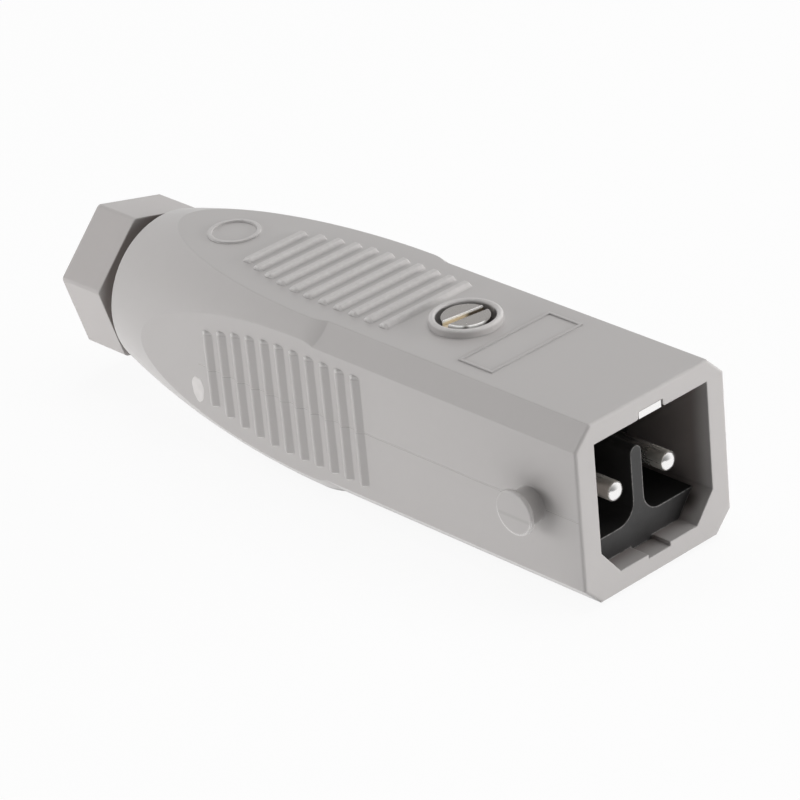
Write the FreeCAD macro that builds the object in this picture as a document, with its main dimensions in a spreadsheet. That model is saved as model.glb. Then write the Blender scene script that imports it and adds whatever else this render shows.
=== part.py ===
import FreeCAD, Part
import math
import os
import Sketcher
from types import SimpleNamespace

# Two pole and earth cable plug, in millimetres.
# The origin is the centre of the mating face, +X leaves the mating face and +Z is up.
# A setback is a distance behind the mating face.

SIZES = {
    # Housing, outside
    "housing_width": 26.0,
    "housing_height": 24.4,
    "edge_chamfer": 2.7,
    "mouth_round": 0.4,
    "sleeve_setback": 44.5,
    "shoulder_setback": 48.0,
    "shoulder_swell": 0.3,
    "shoulder_dip": 0.2,
    "rim_setback": 88.8,
    "rim_radius": 10.85,
    "rim_round": 0.9,
    # Grip ribs
    "rib_setback": 38.23,
    "rib_pitch": 2.79,
    "rib_width": 1.9,
    "rib_height": 0.55,
    "rib_crown_top": 0.7,
    "rib_crown_side": 0.25,
    "rib_end_bevel": 0.25,
    "rib_half_top": 7.5,
    "rib_half_side": 7.8,
    "rib_taper_setback": 50.0,
    "rib_taper_radius": 55.0,
    # Locking studs
    "stud_setback": 8.2,
    "stud_diameter": 4.7,
    "stud_height": 3.05,
    "stud_head_diameter": 6.0,
    "stud_head_height": 0.5,
    "stud_round": 0.2,
    # Moulded frame and ring on the top face
    "frame_setback": 21.5,
    "frame_length": 5.8,
    "frame_width": 16.0,
    "frame_line": 0.4,
    "frame_height": 0.15,
    "ring_setback": 74.2,
    "ring_diameter": 7.1,
    "ring_line": 0.55,
    "ring_height": 0.25,
    # Housing, inside
    "wall_side": 3.1,
    "wall_top": 2.8,
    "wall_bottom": 2.9,
    "corner_width": 3.1,
    "corner_height": 3.8,
    "chamber_setback": 50.0,
    "chamber_radius": 9.0,
    "throat_setback": 82.0,
    "keyway_width": 3.9,
    "keyway_depth": 0.55,
    "notch_width": 4.3,
    "notch_depth": 1.0,
    "notch_round": 0.4,
    # Contact insert
    "shelf_setback": 3.0,
    "shelf_height": 3.4,
    "block_setback": 14.0,
    "block_length": 22.0,
    "tray_length": 11.0,
    "partition_width": 1.85,
    "partition_height": 13.2,
    "foot_round": 2.7,
    "spine_width": 2.4,
    "insert_clearance": 0.1,
    # Contact pins and their terminals
    "pin_diameter": 2.6,
    "pin_spacing": 9.4,
    "pin_tip_setback": 1.6,
    "pin_tip_dome": 1.8,
    "pin_tip_round": 0.45,
    "pin_shank": 3.4,
    "barrel_diameter": 5.0,
    "barrel_length": 9.5,
    "wire_bore": 2.8,
    "wire_depth": 8.0,
    "terminal_setback": 41.0,
    "terminal_thread": 3.0,
    "terminal_head_diameter": 4.2,
    "terminal_head_height": 1.6,
    "terminal_slot_width": 0.8,
    # Earth strip
    "strip_width": 3.9,
    "strip_thickness": 0.95,
    "strip_setback": 0.1,
    "strip_step": 1.5,
    "strip_pad": 8.0,
    "tab_height": 3.8,
    "clamp_plate_width": 6.0,
    "clamp_plate_thickness": 0.8,
    # Fixing screw, its seal and nut
    "screw_setback": 31.0,
    "screw_thread": 3.5,
    "screw_length": 18.2,
    "screw_head_diameter": 6.45,
    "screw_head_height": 1.5,
    "screw_slot_width": 1.2,
    "screw_slot_angle": -9.0,
    "collar_diameter": 9.4,
    "collar_height": 1.1,
    "collar_round": 0.4,
    "counterbore_diameter": 7.7,
    "counterbore_depth": 2.5,
    "seal_thickness": 0.8,
    "seal_diameter": 6.2,
    "fixing_nut_across": 6.0,
    "fixing_nut_height": 2.8,
    "fixing_nut_drop": 3.4,
    # Cable gland
    "gland_thread": 16.0,
    "neck_length": 6.6,
    "cable_entry": 10.0,
    "gland_seal_diameter": 12.4,
    "gland_seal_length": 9.9,
    "gland_seal_proud": 0.5,
    "washer_thickness": 1.0,
    "washer_diameter": 15.2,
    "gland_across": 19.3,
    "gland_length": 7.6,
    "gland_end_wall": 1.5,
    "gland_edge_round": 0.7,
    "gland_turn": -13.6,
    # Fits
    "thread_clearance": 0.08,
    "hole_clearance": 0.2,
    "seat_gap": 0.03,
}

RIB_COUNT = 11
CUT_MARGIN = 1.0
LEAD_SHARE = 0.15
EDGE_SHARE = 0.18
TOLERANCE = 1e-4


class Size:
    """A length as an expression on the sheet, with its present value."""

    def __init__(self, text, value):
        self.text = text
        self.value = value

    def joined(self, sign, other, value):
        return Size(f"({self.text} {sign} {other.text})", value)

    def __add__(self, other):
        other = as_size(other)
        return self.joined("+", other, self.value + other.value)

    def __sub__(self, other):
        other = as_size(other)
        return self.joined("-", other, self.value - other.value)

    def __mul__(self, other):
        other = as_size(other)
        return self.joined("*", other, self.value * other.value)

    def __truediv__(self, other):
        other = as_size(other)
        return self.joined("/", other, self.value / other.value)

    def __neg__(self):
        return Size(f"(0 - {self.text})", -self.value)

    def __radd__(self, other):
        return as_size(other) + self

    def __rsub__(self, other):
        return as_size(other) - self

    def __rmul__(self, other):
        return as_size(other) * self


def as_size(number):
    return number if isinstance(number, Size) else Size(f"{number:.9f}", float(number))


def root(size):
    return Size(f"sqrt({size.text})", math.sqrt(size.value))


def largest(first, second):
    first, second = as_size(first), as_size(second)
    return Size(f"max({first.text}; {second.text})", max(first.value, second.value))


def smallest(first, second):
    first, second = as_size(first), as_size(second)
    return Size(f"min({first.text}; {second.text})", min(first.value, second.value))


doc = FreeCAD.newDocument("cable_plug")
sheet = doc.addObject("Spreadsheet::Sheet", "dims")
for row, (name, value) in enumerate(SIZES.items(), 1):
    sheet.set(f"A{row}", name)
    sheet.set(f"B{row}", str(value))
    sheet.setAlias(f"B{row}", name)
doc.recompute()
d = SimpleNamespace(**{name: Size(f"dims.{name}", value) for name, value in SIZES.items()})


# Places that several pieces share

half_width = d.housing_width / 2
half_height = d.housing_height / 2
cavity_half = half_width - d.wall_side
ceiling = half_height - d.wall_top
floor = d.wall_bottom - half_height
collar_top = half_height + d.collar_height
screw_seat = collar_top - d.counterbore_depth
block_rear = d.block_setback + d.block_length
tray_rear = block_rear + d.tray_length
insert_half = cavity_half - d.insert_clearance
insert_top = ceiling - d.insert_clearance
shelf_top = floor + d.shelf_height
strap_seat = insert_top - d.strip_thickness - d.insert_clearance
blade_seat = ceiling + d.notch_depth - d.insert_clearance - d.strip_thickness
step_front = d.block_setback + d.strip_step
neck_end = d.rim_setback + d.neck_length
washer_front = neck_end + d.gland_seal_proud
gland_front = washer_front + d.washer_thickness + d.seat_gap + d.gland_end_wall - d.gland_length
seal_front = washer_front - d.gland_seal_length
terminal_seat = d.barrel_diameter / 2 + d.insert_clearance


# Drawing helpers

def bind(item, path, size):
    """Set a property from the sheet."""
    item.setExpression(path, as_size(size).text)


def new_body(label):
    body = doc.addObject("PartDesign::Body", label)
    body.Label = label
    return body


def place(body, x=0, y=0, z=0):
    for axis, size in zip("xyz", (x, y, z)):
        bind(body, f"Placement.Base.{axis}", size)


def origin_plane(body, plane):
    return next(feature for feature in body.Origin.OriginFeatures if feature.Role == plane)


def new_sketch(body, name, plane, offset=0, along=0):
    """Start a sketch on one of the body's own origin planes, moved along its normal or along X."""
    sketch = body.newObject("Sketcher::SketchObject", name)
    sketch.AttachmentSupport = [(origin_plane(body, plane), "")]
    sketch.MapMode = "FlatFace"
    bind(sketch, "AttachmentOffset.Base.x", along)
    bind(sketch, "AttachmentOffset.Base.z", offset)
    return sketch


def held(geometry, point, x, y):
    """Constraints that hold a point of the geometry at x, y, each with the size that drives it."""
    for kind, axis, size in (("DistanceX", -2, as_size(x)), ("DistanceY", -1, as_size(y))):
        if abs(size.value) < TOLERANCE:
            yield Sketcher.Constraint("PointOnObject", geometry, point, axis), None
        else:
            yield Sketcher.Constraint(kind, -1, 1, geometry, point, size.value), size


def constrain(sketch, pairs):
    """Add constraints all at once and bind each to its size."""
    first = sketch.ConstraintCount
    sketch.addConstraint([constraint for constraint, _ in pairs])
    for index, (_, size) in enumerate(pairs, first):
        if size is not None:
            bind(sketch, f"Constraints[{index}]", size)


def arc_between(start, end, radius):
    """Shorter arc from start to end, anticlockwise for a positive radius and clockwise for a negative one."""
    chord = end - start
    side = FreeCAD.Vector(-chord.y, chord.x, 0).normalize() * math.copysign(1, radius)
    rise = math.sqrt(max(radius ** 2 - (chord.Length / 2) ** 2, 0))
    centre = (start + end) / 2 + side * rise
    first, last = (start, end) if radius > 0 else (end, start)
    angles = [math.atan2(point.y - centre.y, point.x - centre.x) for point in (first, last)]
    return Part.ArcOfCircle(Part.Circle(centre, FreeCAD.Vector(0, 0, 1), abs(radius)), *angles)


def draw(sketch, *outlines):
    """Draw closed outlines. A point's third value is the radius of the arc that leaves it."""
    pairs = []
    for points in outlines:
        vectors = [FreeCAD.Vector(as_size(point[0]).value, as_size(point[1]).value, 0) for point in points]
        pieces = []
        for start, end, point in zip(vectors, vectors[1:] + vectors[:1], points):
            if len(point) == 2:
                pieces.append((sketch.addGeometry(Part.LineSegment(start, end)), 1, 2))
            else:
                radius = point[2].value
                ends = (1, 2) if radius > 0 else (2, 1)
                pieces.append((sketch.addGeometry(arc_between(start, end, radius)), *ends))
        for (before, _, last), (after, first, _), point in zip(pieces[-1:] + pieces[:-1], pieces, points):
            pairs.append((Sketcher.Constraint("Coincident", before, last, after, first), None))
            pairs += held(after, first, point[0], point[1])
            if len(point) == 3:
                radius = point[2] if point[2].value > 0 else -point[2]
                pairs.append((Sketcher.Constraint("Radius", after, radius.value), radius))
    constrain(sketch, pairs)


def draw_circle(sketch, x, y, diameter):
    centre = FreeCAD.Vector(as_size(x).value, as_size(y).value, 0)
    geometry = sketch.addGeometry(Part.Circle(centre, FreeCAD.Vector(0, 0, 1), diameter.value / 2))
    across = (Sketcher.Constraint("Diameter", geometry, diameter.value), diameter)
    constrain(sketch, [*held(geometry, 3, x, y), across])


def box_points(x_low, x_high, y_low, y_high):
    return [(x_low, y_low), (x_high, y_low), (x_high, y_high), (x_low, y_high)]


def centred_box(half_x, half_y):
    return box_points(-half_x, half_x, -half_y, half_y)


def hexagon(across):
    """Corners of a hexagon with its flats across the second axis."""
    corners = [math.radians(60 * corner) for corner in range(6)]
    factors = [(math.cos(angle) / math.sqrt(3), math.sin(angle) / math.sqrt(3)) for angle in corners]
    return [tuple(across * factor if abs(factor) > TOLERANCE else 0 for factor in pair) for pair in factors]


def mirrored(right):
    """Complete a straight-sided outline from its right half, drawn from bottom to top."""
    return right + [(-x, y) for x, y in reversed(right)]


# Feature helpers

def volume(body):
    return 0 if body.Shape.isNull() else body.Shape.Volume


def settle(body, before, cuts):
    """Recompute, and stop if the feature changed nothing or changed it the wrong way."""
    doc.recompute()
    gain = volume(body) - before
    if abs(gain) < TOLERANCE or (gain < 0) != cuts:
        raise RuntimeError(f"{body.Label}: {body.Tip.Name} changed the volume by {gain:.4f}")


def extrude(kind, body, name, sketch, length, reverse=False, symmetric=False):
    before = volume(body)
    feature = body.newObject(f"PartDesign::{kind}", name)
    feature.Profile = sketch
    bind(feature, "Length", length)
    feature.Reversed = reverse
    feature.SideType = "Symmetric" if symmetric else "One side"
    settle(body, before, kind == "Pocket")
    return feature


def mirror(body, name, features, plane):
    """Repeat features on the other side of one of the body's own origin planes."""
    before = volume(body)
    feature = body.newObject("PartDesign::Mirrored", name)
    feature.Originals = features
    feature.MirrorPlane = (origin_plane(body, plane), [""])
    body.Tip = feature
    settle(body, before, False)


def turn(kind, body, name, sketch, axis):
    before = volume(body)
    feature = body.newObject(f"PartDesign::{kind}", name)
    feature.Profile = sketch
    feature.ReferenceAxis = (sketch, [axis])
    feature.Angle = 360
    settle(body, before, kind == "Groove")


def dress_edges(kind, body, name, size, chosen):
    """Round or bevel the edges of the body that the test picks."""
    base = body.Tip
    before = volume(body)
    names = [f"Edge{number}" for number, edge in enumerate(base.Shape.Edges, 1) if chosen(edge.BoundBox)]
    feature = body.newObject(f"PartDesign::{kind}", name)
    feature.Base = (base, names)
    bind(feature, "Radius" if kind == "Fillet" else "Size", size)
    doc.recompute()
    if abs(volume(body) - before) < TOLERANCE:
        raise RuntimeError(f"{body.Label}: {name} changed nothing")


def round_edges(body, name, radius, chosen):
    dress_edges("Fillet", body, name, radius, chosen)


def flat_at(low, high, size):
    """True if a span of a box is flat and at the given place."""
    return abs(low - size.value) < TOLERANCE and abs(high - size.value) < TOLERANCE


# Housing

def grip(body):
    """Square bar turned down to a bullet behind the shoulder."""
    corner_side = root(half_width * half_width + (half_height - d.edge_chamfer) * (half_height - d.edge_chamfer))
    corner_top = root((half_width - d.edge_chamfer) * (half_width - d.edge_chamfer) + half_height * half_height)
    shoulder_radius = largest(corner_side, corner_top) + d.shoulder_swell
    front_radius = (half_width + half_height - d.edge_chamfer) / math.sqrt(2) - d.shoulder_dip
    outside = half_width + half_height

    def tangent_radius(run, drop):
        return (run * run + drop * drop) / (drop * 2)

    front_run = d.shoulder_setback - d.sleeve_setback
    rear_run = d.rim_setback - d.shoulder_setback
    section = new_sketch(body, "grip_section", "YZ_Plane", -d.sleeve_setback)
    draw(section, centred_box(half_width, half_height))
    extrude("Pad", body, "grip_bar", section, d.rim_setback - d.sleeve_setback, reverse=True)
    profile = new_sketch(body, "grip_profile", "XZ_Plane")
    draw(profile, [
        (-d.sleeve_setback + CUT_MARGIN, outside),
        (-d.sleeve_setback + CUT_MARGIN, front_radius),
        (-d.sleeve_setback, front_radius, tangent_radius(front_run, shoulder_radius - front_radius)),
        (-d.shoulder_setback, shoulder_radius, tangent_radius(rear_run, shoulder_radius - d.rim_radius)),
        (-d.rim_setback, d.rim_radius),
        (-d.rim_setback - CUT_MARGIN, d.rim_radius),
        (-d.rim_setback - CUT_MARGIN, outside),
    ])
    turn("Groove", body, "grip_turning", profile, "H_Axis")
    round_edges(body, "rim_rounding", d.rim_round, lambda box: flat_at(box.XMin, box.XMax, -d.rim_setback))


def sleeve(body):
    """Square front sleeve with its long edges bevelled and its mouth softened."""
    low, bevel = -half_height, d.edge_chamfer
    section = new_sketch(body, "sleeve_section", "YZ_Plane")
    right = [
        (half_width - bevel, low),
        (half_width, low + bevel),
        (half_width, half_height - bevel),
        (half_width - bevel, half_height),
    ]
    draw(section, mirrored(right))
    extrude("Pad", body, "sleeve_bar", section, d.shoulder_setback, reverse=True)
    round_edges(body, "mouth_rounding", d.mouth_round, lambda box: flat_at(box.XMin, box.XMax, as_size(0)))


def studs(body):
    """Round locking stud with a flat head on each side, turned as one bar across the sleeve."""
    shank, head = d.stud_diameter / 2, d.stud_head_diameter / 2
    end, bend = half_width + d.stud_height, d.stud_round
    head_base = end - d.stud_head_height
    profile = new_sketch(body, "stud_profile", "XY_Plane", along=-d.stud_setback)
    draw(profile, [
        (0, -end),
        (head - bend, -end, bend),
        (head, bend - end),
        (head, -head_base),
        (shank, -head_base),
        (shank, head_base),
        (head, head_base),
        (head, end - bend, bend),
        (head - bend, end),
        (0, end),
    ])
    turn("Revolution", body, "stud_pair", profile, "V_Axis")


def ribs(body):
    """Rows of sloped ribs on all four faces, shorter towards the rear, with sharper crowns at the sides."""
    half = d.rib_width / 2
    rows = (
        ("top", "XY_Plane", "XZ_Plane", half_height, d.rib_half_top, d.rib_crown_top / 2),
        ("side", "XZ_Plane", "XY_Plane", half_width, d.rib_half_side, d.rib_crown_side / 2),
    )
    ends = []
    for row, mirror_plane, section_plane, face, straight_half, half_crown in rows:
        pads = []
        for rib in range(RIB_COUNT):
            setback = d.rib_setback + d.rib_pitch * rib
            beyond = largest(0, setback - d.rib_taper_setback)
            end = straight_half - beyond * beyond / (d.rib_taper_radius * 2)
            section = new_sketch(body, f"{row}_rib_section", section_plane)
            draw(section, [
                (-setback - half, face - CUT_MARGIN),
                (-setback + half, face - CUT_MARGIN),
                (-setback + half, face),
                (-setback + half_crown, face + d.rib_height),
                (-setback - half_crown, face + d.rib_height),
                (-setback - half, face),
            ])
            pads.append(extrude("Pad", body, f"{row}_rib", section, 2 * end, symmetric=True))
            ends.append((row, end.value))
        mirror(body, f"{row}_ribs_opposite", pads, mirror_plane)

    def rib_end(box):
        """True for the edges of a rib's end face that stand clear of the housing."""
        across_y, across_z = abs(box.YMin + box.YMax) / 2, abs(box.ZMin + box.ZMax) / 2
        if box.YLength < TOLERANCE and across_z > half_height.value + TOLERANCE:
            return any(row == "top" and abs(across_y - end) < TOLERANCE for row, end in ends)
        if box.ZLength < TOLERANCE and across_y > half_width.value + TOLERANCE:
            return any(row == "side" and abs(across_z - end) < TOLERANCE for row, end in ends)
        return False

    dress_edges("Chamfer", body, "rib_end_bevels", d.rib_end_bevel, rib_end)


def top_marks(body):
    """Empty moulded frame and ring, low on the top face."""
    half_length, half_frame = d.frame_length / 2, d.frame_width / 2
    frame = new_sketch(body, "frame_lines", "XY_Plane", half_height)
    for inset in (0, d.frame_line):
        draw(frame, box_points(-d.frame_setback - half_length + inset, -d.frame_setback + half_length - inset,
                               -half_frame + inset, half_frame - inset))
    extrude("Pad", body, "frame", frame, d.frame_height)
    ring = new_sketch(body, "ring_lines", "XY_Plane", half_height)
    for diameter in (d.ring_diameter, d.ring_diameter - d.ring_line * 2):
        draw_circle(ring, -d.ring_setback, 0, diameter)
    extrude("Pad", body, "ring", ring, d.ring_height)


def screw_collar(body):
    """Raised collar with the counterbore and hole of the fixing screw."""
    ring = new_sketch(body, "collar_section", "XY_Plane", half_height)
    draw_circle(ring, -d.screw_setback, 0, d.collar_diameter)
    extrude("Pad", body, "collar", ring, d.collar_height)
    recess = new_sketch(body, "counterbore_section", "XY_Plane", collar_top)
    draw_circle(recess, -d.screw_setback, 0, d.counterbore_diameter)
    extrude("Pocket", body, "counterbore", recess, d.counterbore_depth)
    round_edges(body, "collar_rounding", d.collar_round, lambda box: flat_at(box.ZMin, box.ZMax, collar_top))
    hole = new_sketch(body, "screw_hole_section", "XY_Plane", screw_seat)
    draw_circle(hole, -d.screw_setback, 0, d.screw_thread + 2 * d.hole_clearance)
    extrude("Pocket", body, "screw_hole", hole, screw_seat - ceiling + CUT_MARGIN)


def neck(body):
    """Threaded neck of the gland, at its outer thread diameter."""
    section = new_sketch(body, "neck_section", "YZ_Plane", -d.rim_setback)
    draw_circle(section, 0, 0, d.gland_thread)
    extrude("Pad", body, "neck", section, d.neck_length, reverse=True)


def cavity(body):
    """Mating cavity and wiring chamber, narrowing to the cable throat and the seat of the gland seal."""
    section = new_sketch(body, "cavity_section", "YZ_Plane")
    right = [
        (cavity_half - d.corner_width, floor),
        (cavity_half, floor + d.corner_height),
        (cavity_half, ceiling),
    ]
    draw(section, mirrored(right))
    extrude("Pocket", body, "cavity", section, d.chamber_setback)
    keyway = new_sketch(body, "keyway_section", "YZ_Plane")
    draw(keyway, box_points(-d.keyway_width / 2, d.keyway_width / 2, floor - d.keyway_depth, floor + CUT_MARGIN))
    extrude("Pocket", body, "keyway", keyway, d.block_setback)
    notch = new_sketch(body, "notch_section", "YZ_Plane")
    draw(notch, box_points(-d.notch_width / 2, d.notch_width / 2, ceiling - CUT_MARGIN, ceiling + d.notch_depth))
    notch_length = step_front + d.strip_thickness + d.hole_clearance
    extrude("Pocket", body, "notch", notch, notch_length)
    round_edges(body, "notch_rounding", d.notch_round,
                lambda box: flat_at(box.ZMin, box.ZMax, ceiling) and abs(box.XLength - notch_length.value) < TOLERANCE)
    entry_radius, seal_radius = d.cable_entry / 2, d.gland_seal_diameter / 2 + d.insert_clearance
    bore = new_sketch(body, "throat_profile", "XZ_Plane")
    draw(bore, [
        (-d.chamber_setback + CUT_MARGIN, 0),
        (-d.chamber_setback + CUT_MARGIN, d.chamber_radius),
        (-d.chamber_setback, d.chamber_radius),
        (-d.throat_setback, entry_radius),
        (-seal_front, entry_radius),
        (-seal_front, seal_radius),
        (-neck_end - CUT_MARGIN, seal_radius),
        (-neck_end - CUT_MARGIN, 0),
    ])
    turn("Groove", body, "throat", bore, "H_Axis")


def housing():
    body = new_body("housing")
    for feature in (grip, sleeve, studs, neck, cavity, screw_collar, top_marks, ribs):
        feature(body)


# Contact insert

def insert_solid(body):
    """Block with a shelf and partition in front and a terminal tray behind."""
    foot = insert_half - d.corner_width
    slope = smallest(1, d.shelf_height / d.corner_height)
    half_partition = d.partition_width / 2
    tip = floor + d.partition_height
    block = new_sketch(body, "block_section", "YZ_Plane", -d.block_setback)
    right = [(foot, floor), (insert_half, floor + d.corner_height), (insert_half, insert_top)]
    draw(block, mirrored(right))
    extrude("Pad", body, "block", block, d.block_length, reverse=True)
    front = new_sketch(body, "shelf_section", "YZ_Plane", -d.shelf_setback)
    shelf_half = foot + d.corner_width * slope
    fillet = d.foot_round
    draw(front, [
        (-foot, floor),
        (foot, floor),
        (shelf_half, shelf_top),
        (half_partition + fillet, shelf_top, -fillet),
        (half_partition, shelf_top + fillet),
        (half_partition, tip - half_partition, half_partition),
        (0, tip, half_partition),
        (-half_partition, tip - half_partition),
        (-half_partition, shelf_top + fillet, -fillet),
        (-half_partition - fillet, shelf_top),
        (-shelf_half, shelf_top),
    ])
    extrude("Pad", body, "shelf", front, d.block_setback - d.shelf_setback, reverse=True)
    key = new_sketch(body, "key_section", "YZ_Plane", -d.shelf_setback)
    half_key = d.keyway_width / 2 - d.insert_clearance
    draw(key, box_points(-half_key, half_key, floor - d.keyway_depth + d.insert_clearance, floor))
    extrude("Pad", body, "key", key, d.block_setback - d.shelf_setback - d.insert_clearance, reverse=True)
    tray = new_sketch(body, "tray_section", "YZ_Plane", -block_rear)
    half_spine = d.spine_width / 2
    right = [
        (foot, floor),
        (insert_half, floor + d.corner_height),
        (insert_half, -terminal_seat),
        (half_spine, -terminal_seat),
        (half_spine, d.tab_height),
    ]
    draw(tray, mirrored(right))
    extrude("Pad", body, "tray", tray, d.tray_length, reverse=True)


def insert_recesses(body):
    """Strap recess, screw hole, nut pocket and pin holes."""
    strap = new_sketch(body, "strap_recess_section", "XY_Plane", insert_top)
    half_strap = d.strip_width / 2 + d.insert_clearance
    draw(strap, box_points(-block_rear - CUT_MARGIN, -d.block_setback + CUT_MARGIN, -half_strap, half_strap))
    extrude("Pocket", body, "strap_recess", strap, insert_top - strap_seat)
    pad = new_sketch(body, "pad_recess_section", "XY_Plane", insert_top)
    half_pad = d.strip_pad / 2 + d.insert_clearance
    draw(pad, box_points(-d.screw_setback - half_pad, -d.screw_setback + half_pad, -half_pad, half_pad))
    extrude("Pocket", body, "pad_recess", pad, insert_top - strap_seat)
    hole = new_sketch(body, "screw_way_section", "XY_Plane", insert_top)
    draw_circle(hole, -d.screw_setback, 0, d.screw_thread + 2 * d.hole_clearance)
    extrude("Pocket", body, "screw_way", hole, insert_top - floor)
    nut = new_sketch(body, "nut_pocket_section", "XY_Plane", floor)
    across = d.fixing_nut_across + 2 * d.insert_clearance
    draw(nut, [(x - d.screw_setback, y) for x, y in hexagon(across)])
    extrude("Pocket", body, "nut_pocket", nut, -d.fixing_nut_drop - floor, reverse=True)
    pins = new_sketch(body, "pin_holes_section", "YZ_Plane", -d.block_setback + CUT_MARGIN)
    for side in (-1, 1):
        draw_circle(pins, side * d.pin_spacing / 2, 0, d.pin_shank + d.insert_clearance)
    extrude("Pocket", body, "pin_holes", pins, d.block_length + 2 * CUT_MARGIN)
    relief = new_sketch(body, "earth_relief_section", "XY_Plane", d.tab_height)
    draw_circle(relief, -d.terminal_setback, 0, d.terminal_thread + 2 * d.hole_clearance)
    extrude("Pocket", body, "earth_relief", relief, d.terminal_thread)


def contact_insert():
    body = new_body("contact_insert")
    insert_solid(body)
    insert_recesses(body)


# Contacts and terminals

def contact_pin(label, side):
    """Turned pin with a thicker shank in the insert block and a barrel terminal behind it."""
    body = new_body(label)
    radius, shank, barrel = d.pin_diameter / 2, d.pin_shank / 2, d.barrel_diameter / 2
    rear = block_rear + d.barrel_length
    dome, bend = d.pin_tip_dome, d.pin_tip_round
    lean = (radius - bend) / (dome - bend)
    rise = root(1 - lean * lean)
    dome_centre = -d.pin_tip_setback - dome
    profile = new_sketch(body, "pin_profile", "XZ_Plane")
    draw(profile, [
        (-rear, 0),
        (-d.pin_tip_setback, 0, dome),
        (dome_centre + dome * rise, dome * lean, bend),
        (dome_centre + (dome - bend) * rise, radius),
        (-d.block_setback, radius),
        (-d.block_setback, shank),
        (-block_rear, shank),
        (-block_rear, barrel),
        (-rear, barrel),
    ])
    turn("Revolution", body, "pin", profile, "H_Axis")
    wire = new_sketch(body, "wire_bore_section", "YZ_Plane", -rear)
    draw_circle(wire, 0, 0, d.wire_bore)
    extrude("Pocket", body, "wire_hole", wire, d.wire_depth, reverse=True)
    thread = new_sketch(body, "clamp_hole_section", "XY_Plane", barrel)
    draw_circle(thread, -d.terminal_setback, 0, d.terminal_thread + 2 * d.thread_clearance)
    extrude("Pocket", body, "clamp_hole", thread, barrel)
    place(body, y=side * d.pin_spacing / 2)


def slotted_screw(label, thread, length, head_diameter, head_height, slot_width):
    """Cheese head screw with its origin under the head and its slot along Y."""
    body = new_body(label)
    shank, head = thread / 2, head_diameter / 2
    lead, edge = thread * LEAD_SHARE, head_height * EDGE_SHARE
    profile = new_sketch(body, "screw_profile", "XZ_Plane")
    draw(profile, [
        (0, -length),
        (shank - lead, -length),
        (shank, lead - length),
        (shank, 0),
        (head, 0),
        (head, head_height - edge, edge),
        (head - edge, head_height),
        (0, head_height),
    ])
    turn("Revolution", body, "screw", profile, "V_Axis")
    slot = new_sketch(body, "slot_section", "XZ_Plane")
    draw(slot, box_points(-slot_width / 2, slot_width / 2, head_height / 2, head_height + CUT_MARGIN))
    extrude("Pocket", body, "slot", slot, head_diameter + CUT_MARGIN, symmetric=True)
    return body


def terminal_screw(label, length):
    return slotted_screw(label, d.terminal_thread, length, d.terminal_head_diameter, d.terminal_head_height,
                         d.terminal_slot_width)


def terminal_screws():
    """Clamp screws of the two pins."""
    for label, side in (("terminal_screw_left", -1), ("terminal_screw_right", 1)):
        body = terminal_screw(label, d.barrel_diameter / 2)
        place(body, x=-d.terminal_setback, y=side * d.pin_spacing / 2, z=terminal_seat)


def earth_contact():
    """Stamped strip: blade under the top wall, step, strap over the insert and a rear terminal tab."""
    body = new_body("earth_contact")
    thick = d.strip_thickness
    profile = new_sketch(body, "strip_profile", "XZ_Plane")
    draw(profile, [
        (-d.strip_setback, blade_seat),
        (-d.strip_setback, blade_seat + thick),
        (-step_front - thick, blade_seat + thick),
        (-step_front - thick, strap_seat + thick),
        (-block_rear - thick, strap_seat + thick),
        (-block_rear - thick, d.tab_height + thick),
        (-tray_rear, d.tab_height + thick),
        (-tray_rear, d.tab_height),
        (-block_rear, d.tab_height),
        (-block_rear, strap_seat),
        (-step_front, strap_seat),
        (-step_front, blade_seat),
    ])
    extrude("Pad", body, "strip", profile, d.strip_width, symmetric=True)
    pad = new_sketch(body, "pad_section", "XY_Plane", strap_seat)
    half_pad = d.strip_pad / 2
    draw(pad, box_points(-d.screw_setback - half_pad, -d.screw_setback + half_pad, -half_pad, half_pad))
    extrude("Pad", body, "pad", pad, thick)
    hole = new_sketch(body, "pad_hole_section", "XY_Plane", strap_seat + thick)
    draw_circle(hole, -d.screw_setback, 0, d.screw_thread + 2 * d.hole_clearance)
    extrude("Pocket", body, "pad_hole", hole, thick)
    thread = new_sketch(body, "tab_hole_section", "XY_Plane", d.tab_height + thick)
    draw_circle(thread, -d.terminal_setback, 0, d.terminal_thread + 2 * d.thread_clearance)
    extrude("Pocket", body, "tab_hole", thread, thick)


def earth_terminal():
    """Square clamp plate and its screw on the earth tab."""
    plate_seat = d.tab_height + d.strip_thickness
    body = new_body("earth_clamp_plate")
    plate = new_sketch(body, "plate_section", "XY_Plane")
    draw(plate, centred_box(d.clamp_plate_width / 2, d.clamp_plate_width / 2))
    draw_circle(plate, 0, 0, d.terminal_thread + 2 * d.thread_clearance)
    extrude("Pad", body, "plate", plate, d.clamp_plate_thickness)
    place(body, x=-d.terminal_setback, z=plate_seat)
    length = d.clamp_plate_thickness + d.strip_thickness + d.terminal_thread / 2
    body = terminal_screw("earth_terminal_screw", length)
    place(body, x=-d.terminal_setback, z=plate_seat + d.clamp_plate_thickness)


# Fixing screw

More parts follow.
